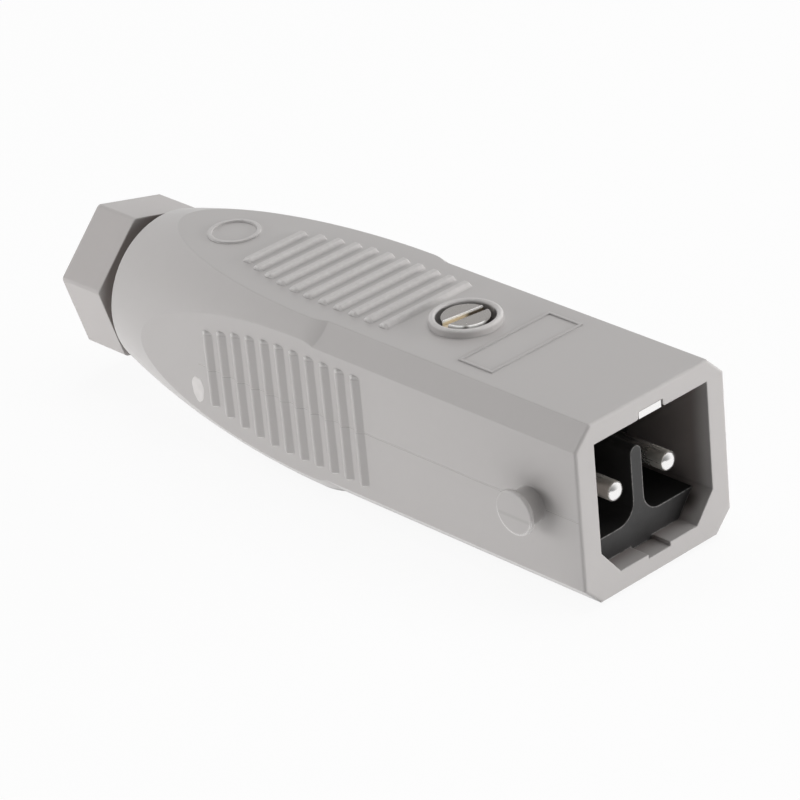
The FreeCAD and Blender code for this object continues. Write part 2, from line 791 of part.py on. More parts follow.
def fixing_screw():
    """Screw from the collar into the nut, with its sealing ring."""
    body = new_body("screw_seal")
    ring = new_sketch(body, "seal_section", "XY_Plane")
    draw_circle(ring, 0, 0, d.seal_diameter)
    draw_circle(ring, 0, 0, d.screw_thread + 2 * d.thread_clearance)
    extrude("Pad", body, "seal", ring, d.seal_thickness)
    seal_seat = screw_seat + d.seat_gap
    place(body, x=-d.screw_setback, z=seal_seat)
    body = slotted_screw("fixing_screw", d.screw_thread, d.screw_length, d.screw_head_diameter,
                         d.screw_head_height, d.screw_slot_width)
    body.Placement.Rotation = FreeCAD.Rotation(FreeCAD.Vector(0, 0, 1), SIZES["screw_slot_angle"])
    place(body, x=-d.screw_setback, z=seal_seat + d.seal_thickness + d.seat_gap)
    body = new_body("fixing_nut")
    section = new_sketch(body, "nut_section", "XY_Plane")
    draw(section, hexagon(d.fixing_nut_across))
    draw_circle(section, 0, 0, d.screw_thread + 2 * d.thread_clearance)
    extrude("Pad", body, "nut", section, d.fixing_nut_height, reverse=True)
    place(body, x=-d.screw_setback, z=-d.fixing_nut_drop)


# Cable gland

def gland_seal():
    """Rubber ring in the neck, with a conical rear edge."""
    body = new_body("gland_seal")
    inner, outer = d.cable_entry / 2, d.gland_seal_diameter / 2
    cone = (outer - inner) / 2
    profile = new_sketch(body, "seal_profile", "XZ_Plane")
    draw(profile, [
        (-d.gland_seal_length, inner),
        (0, inner),
        (0, outer),
        (cone - d.gland_seal_length, outer),
        (-d.gland_seal_length, outer - cone),
    ])
    turn("Revolution", body, "seal", profile, "H_Axis")
    place(body, x=-seal_front)


def thrust_washer():
    body = new_body("thrust_washer")
    ring = new_sketch(body, "washer_section", "YZ_Plane")
    draw_circle(ring, 0, 0, d.washer_diameter)
    draw_circle(ring, 0, 0, d.cable_entry)
    extrude("Pad", body, "washer", ring, d.washer_thickness, reverse=True)
    place(body, x=-washer_front)


def gland_nut():
    """Hexagonal cap nut with a cable hole in its end wall."""
    body = new_body("gland_nut")
    section = new_sketch(body, "nut_section", "YZ_Plane")
    draw(section, hexagon(d.gland_across))
    extrude("Pad", body, "nut", section, d.gland_length, reverse=True)
    round_edges(body, "corner_rounding", d.gland_edge_round,
                lambda box: abs(box.XLength - d.gland_length.value) < TOLERANCE)
    thread = new_sketch(body, "thread_section", "YZ_Plane")
    draw_circle(thread, 0, 0, d.gland_thread + 2 * d.thread_clearance)
    extrude("Pocket", body, "thread", thread, d.gland_length - d.gland_end_wall)
    entry = new_sketch(body, "entry_section", "YZ_Plane")
    draw_circle(entry, 0, 0, d.cable_entry)
    extrude("Pocket", body, "entry", entry, d.gland_length + CUT_MARGIN)
    body.Placement.Rotation = FreeCAD.Rotation(FreeCAD.Vector(1, 0, 0), SIZES["gland_turn"])
    place(body, x=-gland_front)


# Build, check and write every piece

housing()
contact_insert()
contact_pin("contact_pin_left", -1)
contact_pin("contact_pin_right", 1)
terminal_screws()
earth_contact()
earth_terminal()
fixing_screw()
gland_seal()
thrust_washer()
gland_nut()
doc.recompute()

failed = [item.Name for item in doc.Objects if {"Invalid", "Error"} & set(item.State)]
bodies = [item for item in doc.Objects if item.TypeId == "PartDesign::Body"]
failed += [body.Label for body in bodies if body.Shape.isNull() or not body.Shape.isValid()]
if failed:
    raise RuntimeError("failed: " + ", ".join(failed))

os.makedirs("parts", exist_ok=True)
for body in bodies:
    body.Shape.exportStep(f"parts/{body.Label}.step")
    print(f"{body.Label}: {body.Shape.Volume:.1f} mm3, {len(body.Shape.Faces)} faces")
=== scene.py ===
"""Looks for an industrial cable plug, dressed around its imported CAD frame. Lengths are in metres."""

import math

import bmesh
import bpy
from mathutils import Matrix, Vector
from mathutils.bvhtree import BVHTree


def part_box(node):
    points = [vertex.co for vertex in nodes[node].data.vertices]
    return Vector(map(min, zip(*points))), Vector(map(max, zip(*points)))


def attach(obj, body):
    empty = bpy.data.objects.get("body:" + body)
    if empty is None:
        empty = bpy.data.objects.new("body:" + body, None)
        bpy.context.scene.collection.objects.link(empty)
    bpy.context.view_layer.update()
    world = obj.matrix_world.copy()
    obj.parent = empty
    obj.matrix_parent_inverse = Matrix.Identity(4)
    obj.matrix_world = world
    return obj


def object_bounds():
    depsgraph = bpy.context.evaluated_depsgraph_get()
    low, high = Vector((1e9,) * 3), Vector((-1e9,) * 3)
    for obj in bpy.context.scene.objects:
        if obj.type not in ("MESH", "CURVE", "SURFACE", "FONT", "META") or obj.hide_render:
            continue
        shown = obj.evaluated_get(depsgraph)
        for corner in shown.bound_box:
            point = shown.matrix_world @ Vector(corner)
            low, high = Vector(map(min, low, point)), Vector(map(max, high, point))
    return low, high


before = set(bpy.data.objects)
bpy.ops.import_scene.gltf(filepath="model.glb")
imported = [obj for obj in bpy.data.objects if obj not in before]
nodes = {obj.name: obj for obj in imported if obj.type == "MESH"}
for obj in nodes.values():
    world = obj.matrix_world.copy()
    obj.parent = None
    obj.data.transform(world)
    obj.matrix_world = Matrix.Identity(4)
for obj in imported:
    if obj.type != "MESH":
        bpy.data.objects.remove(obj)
cad_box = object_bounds()

MM = 0.001

# Corners of the nodes that looks are placed by
housing_low, housing_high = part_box("housing")
insert_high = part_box("contact_insert")[1]
pin_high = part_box("contact_pin_left")[1]
screw_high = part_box("fixing_screw")[1]
seal_low, seal_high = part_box("screw_seal")
nut_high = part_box("gland_nut")[1]


# Small helpers for node trees

# The range that most values of a noise texture lie in
NOISE_LOW = 0.25
NOISE_HIGH = 0.75

# Samples of the nodes that round edges off, and the turn of the surface that marks an edge, for wear and
# for painted highlights
EDGE_SAMPLES = 6
RELIEF_SAMPLES = 8
EDGE_TURN = 0.03


def new_material(name):
    """A new node material with its tree and its Principled shader."""
    material = bpy.data.materials.new(name)
    material.use_nodes = True
    tree = material.node_tree
    return material, tree, tree.nodes["Principled BSDF"]


def add_node(tree, kind, settings=None, **inputs):
    """A node of a kind, with its own settings and the values of its sockets."""
    node = tree.nodes.new(kind)
    for key, value in (settings or {}).items():
        setattr(node, key, value)
    for key, value in inputs.items():
        node.inputs[key.replace("_", " ")].default_value = value
    return node


def noise(tree, scale, detail=3.0, stretch=None):
    """A noise texture in object space, with an optional stretch of its axes."""
    vector = add_node(tree, "ShaderNodeTexCoord").outputs["Object"]
    if stretch:
        mapping = add_node(tree, "ShaderNodeMapping", Scale=stretch)
        tree.links.new(vector, mapping.inputs["Vector"])
        vector = mapping.outputs["Vector"]
    texture = add_node(tree, "ShaderNodeTexNoise", Scale=scale, Detail=detail)
    tree.links.new(vector, texture.inputs["Vector"])
    return texture.outputs["Fac"]


def spread(tree, value, low, high):
    """A texture value mapped to low and high, with nothing cut off at its ends."""
    ranged = add_node(tree, "ShaderNodeMapRange", {"clamp": False},
                      From_Min=NOISE_LOW, From_Max=NOISE_HIGH, To_Min=low, To_Max=high)
    tree.links.new(value, ranged.inputs["Value"])
    return ranged.outputs["Result"]


def patchy(tree, scale, low, high, stretch=None):
    """A noise texture that wanders between low and high."""
    return spread(tree, noise(tree, scale, stretch=stretch), low, high)


def ramp(tree, value, start, end, low=0.0, high=1.0):
    """A factor that goes smoothly from low at start to high at end."""
    ranged = add_node(tree, "ShaderNodeMapRange", {"interpolation_type": "SMOOTHSTEP"},
                      From_Min=start, From_Max=end, To_Min=low, To_Max=high)
    tree.links.new(value, ranged.inputs["Value"])
    return ranged.outputs["Result"]


def maths(tree, operation, first, second=0.0):
    """A sum, product or the like of two sockets or numbers."""
    node = add_node(tree, "ShaderNodeMath", {"operation": operation})
    for socket, value in zip(node.inputs, (first, second)):
        if isinstance(value, float):
            socket.default_value = value
        else:
            tree.links.new(value, socket)
    return node.outputs[0]


def product(tree, *values):
    """All the values multiplied together."""
    result = values[0]
    for value in values[1:]:
        result = maths(tree, "MULTIPLY", result, value)
    return result


def distance(tree, first, second):
    """The distance from an axis, given the two coordinates across it."""
    squares = [product(tree, value, value) for value in (first, second)]
    return maths(tree, "SQRT", maths(tree, "ADD", *squares))


def dot(tree, first, second):
    """The dot product of a socket with another socket or a fixed vector."""
    node = add_node(tree, "ShaderNodeVectorMath", {"operation": "DOT_PRODUCT"})
    tree.links.new(first, node.inputs[0])
    if isinstance(second, Vector):
        node.inputs[1].default_value = second
    else:
        tree.links.new(second, node.inputs[1])
    return node.outputs["Value"]


def part_of(tree, vector, axis):
    """One coordinate of a vector."""
    split = add_node(tree, "ShaderNodeSeparateXYZ")
    tree.links.new(vector, split.inputs["Vector"])
    return split.outputs[axis]


def place(tree, axis, either_side=False):
    """An object coordinate, or its distance from the middle on either side."""
    value = part_of(tree, add_node(tree, "ShaderNodeTexCoord").outputs["Object"], axis)
    return maths(tree, "ABSOLUTE", value) if either_side else value


def rise(tree, axis, start, end, either_side=False):
    """A factor that goes smoothly from 0 to 1 between two places on an axis."""
    return ramp(tree, place(tree, axis, either_side), start, end)


def facing(tree, axis):
    """How far the surface is turned towards an axis, on either side."""
    normal = add_node(tree, "ShaderNodeNewGeometry").outputs["Normal"]
    return maths(tree, "ABSOLUTE", part_of(tree, normal, axis))


def line(tree, value, middle, half):
    """A factor that is 1 at the middle of a line and 0 beyond its half width."""
    return ramp(tree, maths(tree, "ABSOLUTE", maths(tree, "SUBTRACT", value, middle)), half, 0.0)


def edge_factor(tree, radius):
    """A factor that is 1 along edges, found where rounding them would turn the surface."""
    soft = add_node(tree, "ShaderNodeBevel", {"samples": EDGE_SAMPLES}, Radius=radius)
    surface = add_node(tree, "ShaderNodeNewGeometry")
    turn = dot(tree, soft.outputs["Normal"], surface.outputs["Normal"])
    return ramp(tree, turn, 1.0, 1.0 - EDGE_TURN)


def tint(tree, value, colour, change):
    """A colour that a texture value makes a little darker and lighter."""
    mix = add_node(tree, "ShaderNodeMix", {"data_type": "RGBA"})
    mix.inputs["A"].default_value = (*[c * (1 - change) for c in colour], 1)
    mix.inputs["B"].default_value = (*[c * (1 + change) for c in colour], 1)
    tree.links.new(value, mix.inputs["Factor"])
    return mix.outputs["Result"]


def relief(tree, height, depth, edge):
    """A normal from a height texture, over edges softened to a radius."""
    soft = add_node(tree, "ShaderNodeBevel", {"samples": RELIEF_SAMPLES}, Radius=edge)
    bump = add_node(tree, "ShaderNodeBump", Strength=1.0, Distance=depth)
    tree.links.new(height, bump.inputs["Height"])
    tree.links.new(soft.outputs["Normal"], bump.inputs["Normal"])
    return bump.outputs["Normal"]


def layer(material, factor, colour, **values):
    """A layer over what a material has so far: a colour, roughness or metal where the factor is 1."""
    tree = material.node_tree
    shader = tree.nodes["Principled BSDF"]
    for name, above in (("Base Color", (*colour, 1)), *values.items()):
        socket = shader.inputs[name]
        mix = add_node(tree, "ShaderNodeMix", {"data_type": "RGBA" if name == "Base Color" else "FLOAT"})
        if socket.links:
            tree.links.new(socket.links[0].from_socket, mix.inputs["A"])
        else:
            mix.inputs["A"].default_value = socket.default_value
        mix.inputs["B"].default_value = above
        tree.links.new(factor, mix.inputs["Factor"])
        tree.links.new(mix.outputs["Result"], socket)


def mix_shaders(tree, factor, first, second, output):
    """Two shaders mixed by a factor, as the surface at the tree's output."""
    mix = add_node(tree, "ShaderNodeMixShader")
    tree.links.new(factor, mix.inputs["Fac"])
    tree.links.new(first, mix.inputs[1])
    tree.links.new(second, mix.inputs[2])
    tree.links.new(mix.outputs["Shader"], tree.nodes[output].inputs["Surface"])


# Materials: plastic and metal

MOTTLE_SCALE = 700.0
GRAIN_SCALE = 5200.0
GRAIN_DETAIL = 2.0
MOTTLE_GLOSS = 0.02

LINES_SCALE = 900.0
LINES_DEPTH = 0.002 * MM
PATCHES_SCALE = 420.0
PATCHES_CHANGE = 0.05
PATCHES_BRIGHT = 0.8
PATCHES_DULL = 1.25

# A soft border's width. Where a look has a pair of places, it starts at one and is full at the other
BORDER = 0.3 * MM


def moulded(name, colour, rough, edge, grain=0.006 * MM, change=0.012):
    """Moulded plastic: a faint mottle in its colour and gloss, and a fine eroded grain."""
    material, tree, shader = new_material(name)
    mottle = noise(tree, MOTTLE_SCALE)
    gloss = spread(tree, mottle, rough - MOTTLE_GLOSS, rough + MOTTLE_GLOSS)
    fine = noise(tree, GRAIN_SCALE, detail=GRAIN_DETAIL)
    tree.links.new(tint(tree, mottle, colour, change), shader.inputs["Base Color"])
    tree.links.new(gloss, shader.inputs["Roughness"])
    tree.links.new(relief(tree, fine, grain, edge), shader.inputs["Normal"])
    return material


def plated(name, colour, rough, stretch, edge):
    """Plated metal: fine lines along the way it was turned or rolled, and a few duller patches."""
    material, tree, shader = new_material(name)
    patches = noise(tree, PATCHES_SCALE)
    gloss = spread(tree, patches, rough * PATCHES_BRIGHT, rough * PATCHES_DULL)
    lines = noise(tree, LINES_SCALE, stretch=stretch)
    tree.links.new(tint(tree, patches, colour, PATCHES_CHANGE), shader.inputs["Base Color"])
    tree.links.new(gloss, shader.inputs["Roughness"])
    tree.links.new(relief(tree, lines, LINES_DEPTH, edge), shader.inputs["Normal"])
    shader.inputs["Metallic"].default_value = 1.0
    return material


# Material of the housing

HOUSING_GREY = (0.43, 0.413, 0.406)
SCUFF_AND_PAINTED_LIGHT_GREY = (0.53, 0.512, 0.504)
RIB_END_PAINTED_LIGHT = (0.60, 0.583, 0.574)
SOCKET_PAINTED_SHADE = (0.225, 0.20, 0.193)
SOCKET_CORNER_PAINTED_SHADE = (0.055, 0.045, 0.042)
STUD_LINE_GREY = (0.385, 0.368, 0.36)
STUD_EDGE_PAINTED_HIGHLIGHT = (0.68, 0.665, 0.655)

SCUFF_SCALE = 1500.0
COLLAR_EDGE = housing_high.z - 0.1 * MM
COLLAR_SCUFF = (0.5, 1.0)
CROWN_SCUFF_AND_SHEEN = (0.35, 0.85)
RIB_MARKS_FRONT = -36.0 * MM
RIB_CROWN = -housing_low.z
RIB_LIGHTENED_PART = (RIB_CROWN - 0.5 * MM, RIB_CROWN - 0.3 * MM)
RIB_HEIGHT = 0.55 * MM
SIDE_FACE = 13.0 * MM

# Each pair of rib rows: the axis that the ribs stand up along, their foot, and the axis that they run along
RIB_ROWS = (("Y", SIDE_FACE, "Z"), ("Z", RIB_CROWN - RIB_HEIGHT, "Y"))
RIB_FOOT_FADE = 0.06 * MM
RIB_END_TURN = (0.3, 0.7)

SOCKET_HALF = insert_high.y + 0.5 * MM
SOCKET_WALL = 0.4 * MM
SOCKET_MOUTH = -0.3 * MM
SOCKET_DEEP = -3.2 * MM
SOCKET_END = -60.0 * MM
SOCKET_END_FADE = 6.0 * MM
CORNER_SIDE = 7.2 * MM
CORNER_TOP = -5.8 * MM
CORNER_FADE = 1.2 * MM

STUD_END = housing_high.y - 0.05 * MM
STUD_FADE = 0.4 * MM
STUD_LINE = -0.5 * MM
STUD_LINE_HALF = 0.4 * MM
STUD_EDGE_RADIUS = 0.5 * MM
STUD_HIGHLIGHT_PART = (0.5 * MM, -1.0 * MM)


def housing_look():
    """The housing's grey plastic: scuffed outside, with painted light on rib crowns and ends, painted shade
    inside the socket, a line on the studs and a painted highlight on their lower edges.
    """
    material = moulded("housing_plastic_look", HOUSING_GREY, rough=0.33, edge=0.3 * MM)
    tree = material.node_tree

    # Lighter crowns on the upper and lower ribs, scuffed and partly a painted sheen; painted light on the
    # ends of all ribs against the shade there; scuffs on the screw's collar
    at_ribs = rise(tree, "X", RIB_MARKS_FRONT + BORDER, RIB_MARKS_FRONT)
    crowns = rise(tree, "Z", *RIB_LIGHTENED_PART, either_side=True)
    # The crowns: scuffs, lightened also as a painted sheen
    layer(material, product(tree, crowns, at_ribs, patchy(tree, SCUFF_SCALE, *CROWN_SCUFF_AND_SHEEN)), SCUFF_AND_PAINTED_LIGHT_GREY)
    for outward, foot, along in RIB_ROWS:
        proud = rise(tree, outward, foot, foot + RIB_FOOT_FADE, either_side=True)
        ends = ramp(tree, facing(tree, along), *RIB_END_TURN)
        # Painted light on the rib ends, standing in for light where shade falls on them
        layer(material, product(tree, proud, ends, at_ribs), RIB_END_PAINTED_LIGHT)
    collar = rise(tree, "Z", COLLAR_EDGE - BORDER, COLLAR_EDGE)
    layer(material, product(tree, collar, patchy(tree, SCUFF_SCALE, *COLLAR_SCUFF)), SCUFF_AND_PAINTED_LIGHT_GREY)

    # Painted shade inside the socket, darker with its depth and darkest in its lower corners
    inner = SOCKET_HALF - SOCKET_WALL
    inside = [rise(tree, axis, SOCKET_HALF, inner, either_side=True) for axis in "YZ"]
    depth = rise(tree, "X", SOCKET_MOUTH, SOCKET_DEEP)
    before_end = rise(tree, "X", SOCKET_END, SOCKET_END + SOCKET_END_FADE)
    deep = product(tree, *inside, depth, before_end)
    layer(material, deep, SOCKET_PAINTED_SHADE)
    aside = rise(tree, "Y", CORNER_SIDE, CORNER_SIDE + CORNER_FADE, either_side=True)
    below = rise(tree, "Z", CORNER_TOP, CORNER_TOP - CORNER_FADE)
    layer(material, product(tree, deep, aside, below), SOCKET_CORNER_PAINTED_SHADE)

    # The studs: a line across the end, and a painted highlight on the lower part of the edge
    end = rise(tree, "Y", STUD_END - STUD_FADE, STUD_END, either_side=True)
    stud_line = line(tree, place(tree, "Z"), STUD_LINE, STUD_LINE_HALF)
    layer(material, product(tree, stud_line, end), STUD_LINE_GREY)
    near_end = rise(tree, "Y", STUD_END - 2 * STUD_FADE, STUD_END - STUD_FADE, either_side=True)
    lightened = product(tree, edge_factor(tree, STUD_EDGE_RADIUS), near_end, rise(tree, "Z", *STUD_HIGHLIGHT_PART))
    layer(material, lightened, STUD_EDGE_PAINTED_HIGHLIGHT)
    return material


# Material of the contact insert

INSERT_BLACK = (0.023, 0.0224, 0.0224)
INSERT_PAINTED_SHADE = (0.006, 0.006, 0.006)
INSERT_EDGE_WEAR_AND_HIGHLIGHT = (0.3, 0.29, 0.285)
INSERT_FRONT = insert_high.x - 0.05 * MM
INSERT_BEHIND = insert_high.x - BORDER
INSERT_EDGE_RADIUS = 0.25 * MM
INSERT_WEAR_SCALE = 2500.0
INSERT_WEAR_SHARE = (0.0, 1.0)


def insert_look():
    """The insert's black plastic, dusty on its front with worn edges there that are also a painted
    highlight, and painted shade that makes it deep black behind.
    """
    material = moulded("insert_plastic_look", INSERT_BLACK, rough=0.42, edge=0.1 * MM,
                       grain=0.02 * MM, change=0.3)
    tree = material.node_tree
    # Painted shade: the insert darker behind its front
    layer(material, rise(tree, "X", INSERT_FRONT, INSERT_BEHIND), INSERT_PAINTED_SHADE, Roughness=0.7)
    # Worn edges on the front, lighter also as a painted highlight
    front = rise(tree, "X", INSERT_BEHIND, INSERT_FRONT)
    wear = patchy(tree, INSERT_WEAR_SCALE, *INSERT_WEAR_SHARE)
    layer(material, product(tree, front, edge_factor(tree, INSERT_EDGE_RADIUS), wear), INSERT_EDGE_WEAR_AND_HIGHLIGHT)
    return material


# Material of the contacts

NICKEL = (0.70, 0.68, 0.64)
NICKEL_STREAK_WEAR_AND_SHEEN = (0.80, 0.76, 0.69)
NICKEL_TIP_PAINTED_HIGHLIGHT = (0.93, 0.92, 0.91)
PIN_STREAKS_START = pin_high.x - 7.4 * MM
PIN_TIP = pin_high.x - 0.4 * MM
STREAK_SCALE = 1400.0
STREAK_STRETCH = (0.05, 3.0, 3.0)
STREAK_SHARE = (0.5, 1.0)


def nickel_look():
    """Nickel plate, streaked by use towards the contacts' front with the streaks also a painted sheen, and
    a painted highlight on their tips.
    """
    material = plated("nickel_look", NICKEL, rough=0.2, stretch=(0.12, 3.0, 3.0), edge=0.06 * MM)
    tree = material.node_tree
    # Streaks of wear towards the front, lighter also as a painted sheen
    streaks = patchy(tree, STREAK_SCALE, *STREAK_SHARE, stretch=STREAK_STRETCH)
    lightened = product(tree, streaks, rise(tree, "X", PIN_STREAKS_START, PIN_TIP))
    layer(material, lightened, NICKEL_STREAK_WEAR_AND_SHEEN, Roughness=0.35, Metallic=0.3)
    # A painted highlight on the tips
    tip = rise(tree, "X", PIN_TIP - BORDER, PIN_TIP)
    layer(material, tip, NICKEL_TIP_PAINTED_HIGHLIGHT, Roughness=0.18, Metallic=1.0)
    return material


# Material of the fixing screw

SCREW_GREY = (0.30, 0.285, 0.272)
SCREW_BRASS = (0.86, 0.77, 0.61)
SCREW_DIRT = (0.24, 0.20, 0.16)
SCREW_PAINTED_HIGHLIGHT = (0.96, 0.95, 0.93)
SCREW_PLACE = (seal_low.x + seal_high.x) / 2
SCREW_FACE = screw_high.z

SLOT_HALF = 0.62 * MM
SLOT_FADE = 0.05 * MM
SLOT_TURN = math.radians(9)
SLOT_BRASS_DEPTH = (SCREW_FACE - 0.02 * MM, SCREW_FACE - 0.1 * MM)
SLOT_DIRT_PART = (0.2 * MM, 1.2 * MM)
SLOT_EDGE_HALF = 0.15 * MM
SLOT_EDGE_DEPTH = (SCREW_FACE - 0.4 * MM, SCREW_FACE - 0.2 * MM)

RIM_RADIUS = 3.05 * MM
RIM_FADE = 0.1 * MM
RIM_AHEAD = (-0.4 * MM, 0.4 * MM)
RIM_ASIDE = (0.6 * MM, -0.4 * MM)
RIM_BREAK_HALF = 0.9 * MM


def screw_look():
    """The fixing screw's plate, worn to the brass inside its slot, with painted highlights on the slot's
    edge and the head's rim.
    """
    material = plated("screw_nickel_look", SCREW_GREY, rough=0.24, stretch=(0.3, 3.0, 1.0), edge=0.16 * MM)
    tree = material.node_tree
    ahead = maths(tree, "SUBTRACT", place(tree, "X"), SCREW_PLACE)
    aside = place(tree, "Y")
    across = maths(tree, "SUBTRACT", product(tree, ahead, math.cos(SLOT_TURN)),
                   product(tree, aside, math.sin(SLOT_TURN)))
    within = ramp(tree, maths(tree, "ABSOLUTE", across), SLOT_HALF + SLOT_FADE, SLOT_HALF)
    slot = product(tree, rise(tree, "Z", *SLOT_BRASS_DEPTH), within)
    layer(material, slot, SCREW_BRASS, Roughness=0.35, Metallic=0.3)
    layer(material, product(tree, slot, ramp(tree, aside, *SLOT_DIRT_PART)), SCREW_DIRT)

    # Painted highlights on the slot's rear edge, and on the head's rim at one side with a dull break in it
    slot_edge = product(tree, line(tree, across, -SLOT_HALF, SLOT_EDGE_HALF),
                        rise(tree, "Z", *SLOT_EDGE_DEPTH))
    dull = line(tree, maths(tree, "ADD", ahead, aside), 0.0, RIM_BREAK_HALF)
    rim = product(tree, ramp(tree, distance(tree, ahead, aside), RIM_RADIUS - RIM_FADE, RIM_RADIUS),
                  ramp(tree, ahead, *RIM_AHEAD), ramp(tree, aside, *RIM_ASIDE),
                  maths(tree, "SUBTRACT", 1.0, dull))
    for highlight in (slot_edge, rim):
        layer(material, highlight, SCREW_PAINTED_HIGHLIGHT, Roughness=0.35, Metallic=0.0)
    return material


# Materials of the gland nut and the mould seam

NUT_GREY = (0.43, 0.408, 0.4)
NUT_FRONT_PAINTED_SHADE = (0.22, 0.195, 0.185)
NUT_FRONT = (nut_high.x - 0.25 * MM, nut_high.x - 0.05 * MM)
NUT_SHADE_OUTER = 11.3 * MM
NUT_SHADE_INNER = 9.5 * MM

SEAM_PAINTED_SHADE = (0.28, 0.267, 0.26)
SEAM_MIDDLE = 0.01 * MM


def nut_look():
    """The gland nut's grey plastic, with painted shade on the face that is turned to the housing."""
    material = moulded("nut_plastic_look", NUT_GREY, rough=0.37, edge=0.35 * MM, grain=0.008 * MM)
    tree = material.node_tree
    reach = distance(tree, place(tree, "Y"), place(tree, "Z"))
    # Painted shade on the nut's front face, darker towards its middle
    front_shade = product(tree, rise(tree, "X", *NUT_FRONT), ramp(tree, reach, NUT_SHADE_OUTER, NUT_SHADE_INNER))
    layer(material, front_shade, NUT_FRONT_PAINTED_SHADE)
    return material


def seam_look():
    """The mould seam: painted shade on its lower flank and painted light on its upper one."""
    material = moulded("seam_look", SCUFF_AND_PAINTED_LIGHT_GREY, rough=0.36, edge=0.02 * MM)
    # Painted shade on the lower flank; the lighter base is painted light on the upper flank
    layer(material, rise(material.node_tree, "Z", SEAM_MIDDLE, -SEAM_MIDDLE), SEAM_PAINTED_SHADE)
    return material


# Plain materials, and the finish of each node

RUBBER_BLACK = (0.026, 0.026, 0.027)
WASHER_CREAM = (0.68, 0.66, 0.6)
STEEL_GREY = (0.56, 0.56, 0.57)
GATE_PALE = (0.60, 0.58, 0.57)

housing_plastic = housing_look()
nut_plastic = nut_look()
insert_plastic = insert_look()
rubber = moulded("rubber_look", RUBBER_BLACK, rough=0.72, edge=0.15 * MM, grain=0.015 * MM, change=0.15)
washer_plastic = moulded("washer_plastic_look", WASHER_CREAM, rough=0.42, edge=0.1 * MM)
nickel = nickel_look()
steel = plated("steel_look", STEEL_GREY, rough=0.3, stretch=(1.0, 1.0, 0.2), edge=0.05 * MM)
screw_nickel = screw_look()
seam_plastic = seam_look()
gate_plastic = moulded("gate_look", GATE_PALE, rough=0.5, edge=0.05 * MM, grain=0.03 * MM, change=0.1)

FINISHES = {
    "housing": housing_plastic,
    "gland_nut": nut_plastic,
    "contact_insert": insert_plastic,
    "gland_seal": rubber,
    "screw_seal": rubber,
    "thrust_washer": washer_plastic,
    "contact_pin_left": nickel,
    "contact_pin_right": nickel,
    "earth_contact": nickel,
    "fixing_screw": screw_nickel,
    "fixing_nut": steel,
    "terminal_screw_left": steel,
    "terminal_screw_right": steel,
    "earth_clamp_plate": steel,
    "earth_terminal_screw": steel,
}
for node_name, finish in FINISHES.items():
    nodes[node_name].material_slots[0].material = finish


# Pieces: mould seams, gate mark and gland thread

HARD_EDGE = math.radians(35)
SINK = 0.06 * MM
PROBE_START = 14.5 * MM

SEAM_FRONT = -0.4 * MM
SEAM_REAR = -68.7 * MM
SEAM_HALF = 0.13 * MM
SEAM_CROWN = SEAM_HALF / 2
SEAM_HEIGHT = 0.03 * MM
SEAM_STEP = 1.0 * MM
SEAM_FINE_STEP = 0.1 * MM
RIBS_FRONT = -36.5 * MM
RIBS_REAR = -68.5 * MM
STUD_PLACE = -8.2 * MM
STUD_REACH = 2.5 * MM

GATE_PLACE = (-69.3 * MM, -3.9 * MM)
GATE_HALF = (1.2 * MM, 1.95 * MM)
GATE_HEIGHT = 0.05 * MM
GATE_STEPS = 36

# The gate mark's rings, each by its share of the half size and of the height
GATE_RINGS = ((0.25, 1.0), (0.55, 0.8), (0.8, 1.0), (0.93, 0.7), (1.0, -1.2))

# The waves in the gate mark's outline, each by its size, its count round the outline and its start
GATE_WAVES = ((0.05, 3, 0.0), (0.03, 7, 1.0))

THREAD_FRONT = -89.6 * MM
THREAD_RIDGES = 4
THREAD_RADIUS = 8.0 * MM
THREAD_HALF = 0.42 * MM
THREAD_CROWN = THREAD_HALF / 3
THREAD_HEIGHT = 0.03 * MM
THREAD_PITCH = 1.5 * MM
THREAD_STEPS = 72

housing_skin = BVHTree.FromObject(nodes["housing"], bpy.context.evaluated_depsgraph_get())


def on_skin(x, z, side):
    """The place on the housing's side at x and z, and the direction straight out of it."""
    spot, out, _, _ = housing_skin.ray_cast(Vector((x, side * PROBE_START, z)), Vector((0, -side, 0)))
    return spot, out


def full_turn(steps):
    """Evenly spaced angles once round."""
    return [2 * math.pi * step / steps for step in range(steps)]


def ridge(half, crown, height):
    """A low ridge in section, as places across it and heights, with its foot sunk in what carries it."""
    return (-half, -SINK), (-crown, height), (crown, height), (half, -SINK)


def loft(rings, round_trip=False):
    """Points and faces of a bar through rings of points, with two ends or back to its start."""
    count = len(rings[0])
    points = [point for ring in rings for point in ring]
    total = len(points)
    faces = [] if round_trip else [tuple(range(count)), tuple(range(total - count, total))]
    for start in range(0, total if round_trip else total - count, count):
        following = (start + count) % total
        for i in range(count):
            j = (i + 1) % count
            faces.append((start + i, start + j, following + j, following + i))
    return points, faces


def new_piece(name, bars, material, body):
    """A piece of one or more closed bars, which rides on a body and takes its finish from a slot."""
    mesh = bpy.data.meshes.new(name)
    shape = bmesh.new()
    for points, faces in bars:
        corners = [shape.verts.new(point) for point in points]
        for face in faces:
            shape.faces.new([corners[i] for i in face])
    bmesh.ops.recalc_face_normals(shape, faces=shape.faces)
    for face in shape.faces:
        face.smooth = True
    shape.to_mesh(mesh)
    shape.free()
    mesh.set_sharp_from_angle(angle=HARD_EDGE)
    mesh.materials.append(material)
    piece = bpy.data.objects.new(name, mesh)
    bpy.context.scene.collection.objects.link(piece)
    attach(piece, body)


def stations(start, end):
    """Places from start to end along X, closer together over the ribs."""
    places = [start]
    while places[-1] > end:
        fine = RIBS_REAR < places[-1] < RIBS_FRONT
        places.append(max(end, places[-1] - (SEAM_FINE_STEP if fine else SEAM_STEP)))
    return places


